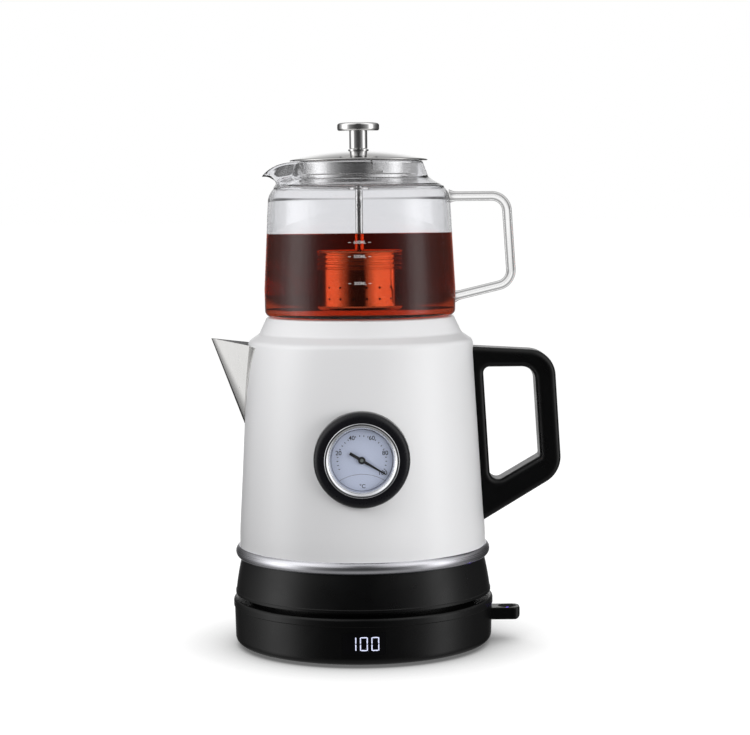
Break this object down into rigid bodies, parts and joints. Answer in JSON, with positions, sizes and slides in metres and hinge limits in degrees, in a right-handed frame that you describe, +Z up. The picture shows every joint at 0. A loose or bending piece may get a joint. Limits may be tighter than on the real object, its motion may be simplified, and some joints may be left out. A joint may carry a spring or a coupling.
{
  "type": "automatic tea maker",
  "caption": "Tea maker in two stacked parts: glass tea jug with lift-up infuser on a white steel kettle, with a thermometer, spout and loop handle, on a round power base.",
  "frame": {"origin": "common axis of base, kettle and jug, in the plane of the feet", "axes": "+Z up, +X towards the handles, -X towards the spouts, -Y towards the thermometer and display"},
  "size_m": [0.227, 0.1721, 0.3396],
  "materials": {
    "black_plastic": "satin moulded",
    "gloss_black": "gloss, dark window",
    "grey_plastic": "matt moulded",
    "lit_white": "lit light guide",
    "lit_violet": "lit light guide",
    "circuit_board": "solder mask",
    "black_rubber": "matt",
    "clear_silicone": "matt translucent",
    "brass": "bright",
    "zinc_steel": "zinc plated",
    "white_paint": "pearl gloss enamel",
    "polished_steel": "polished",
    "brushed_steel": "brushed",
    "clear_glass": "clear borosilicate",
    "gauge_glass": "clear",
    "dial_face": "printed, matt",
    "needle_black": "matt"
  },
  "bodies": {
    "base": {"base_shell": "black_plastic", "base_cover": "black_plastic", "base_feet": "black_rubber", "base_screws": "zinc_steel", "base_connector": "black_plastic", "connector_contacts": "brass", "display_window": "gloss_black", "display_digits": "lit_white", "display_module": "grey_plastic", "control_board": "circuit_board", "cord_gland": "black_rubber", "switch_block": "black_plastic", "switch_pin": "zinc_steel"},
    "lever": {"switch_lever": "black_plastic", "lever_lens": "lit_violet"},
    "kettle": {"kettle_body": "white_paint", "kettle_spout": "brushed_steel", "spout_filter": "brushed_steel", "trim_ring": "polished_steel", "kettle_skirt": "black_plastic", "heating_plate": "brushed_steel", "heating_element": "brushed_steel", "kettle_seal": "clear_silicone", "kettle_bottom_cover": "black_plastic", "thermostat": "black_plastic", "bottom_screws": "zinc_steel", "jug_seat_ring": "clear_silicone", "kettle_handle": "black_plastic", "handle_brackets": "brushed_steel", "handle_screws": "zinc_steel", "gauge_housing": "black_plastic", "gauge_bezel": "polished_steel", "gauge_glass": "gauge_glass", "gauge_dial": "dial_face", "gauge_probe": "brushed_steel", "gauge_seal": "clear_silicone", "gauge_nut": "brushed_steel"},
    "needle": {"gauge_needle": "needle_black", "needle_hub": "polished_steel"},
    "jug": {"jug_glass": "clear_glass", "jug_handle": "clear_glass"},
    "lid": {"lid_cover": "polished_steel", "lid_pan": "polished_steel", "lid_spring_band": "polished_steel", "lid_bush": "polished_steel"},
    "infuser": {"lid_knob": "polished_steel", "infuser_rod": "polished_steel", "rod_nut": "polished_steel", "infuser_cap": "brushed_steel", "infuser_basket": "brushed_steel"}
  },
  "joints": [
    {"name": "kettle_lift", "type": "slide", "parent": "base", "child": "kettle", "axis": [0, 0, 1], "range_m": [0, 0.06]},
    {"name": "lever_tip", "type": "hinge", "parent": "base", "child": "lever", "pos_m": [0.066, 0, 0.0183], "axis": [0, -1, 0], "range_deg": [0, 7]},
    {"name": "needle_turn", "type": "hinge", "parent": "kettle", "child": "needle", "pos_m": [0, -0.0813, 0.1297], "axis": [0, -1, 0], "range_deg": [0, 243]},
    {"name": "jug_lift", "type": "slide", "parent": "kettle", "child": "jug", "axis": [0, 0, 1], "range_m": [0, 0.06]},
    {"name": "lid_lift", "type": "slide", "parent": "jug", "child": "lid", "axis": [0, 0, 1], "range_m": [0, 0.11]},
    {"name": "infuser_lift", "type": "slide", "parent": "lid", "child": "infuser", "axis": [0, 0, 1], "range_m": [0, 0.036]}
  ]
}
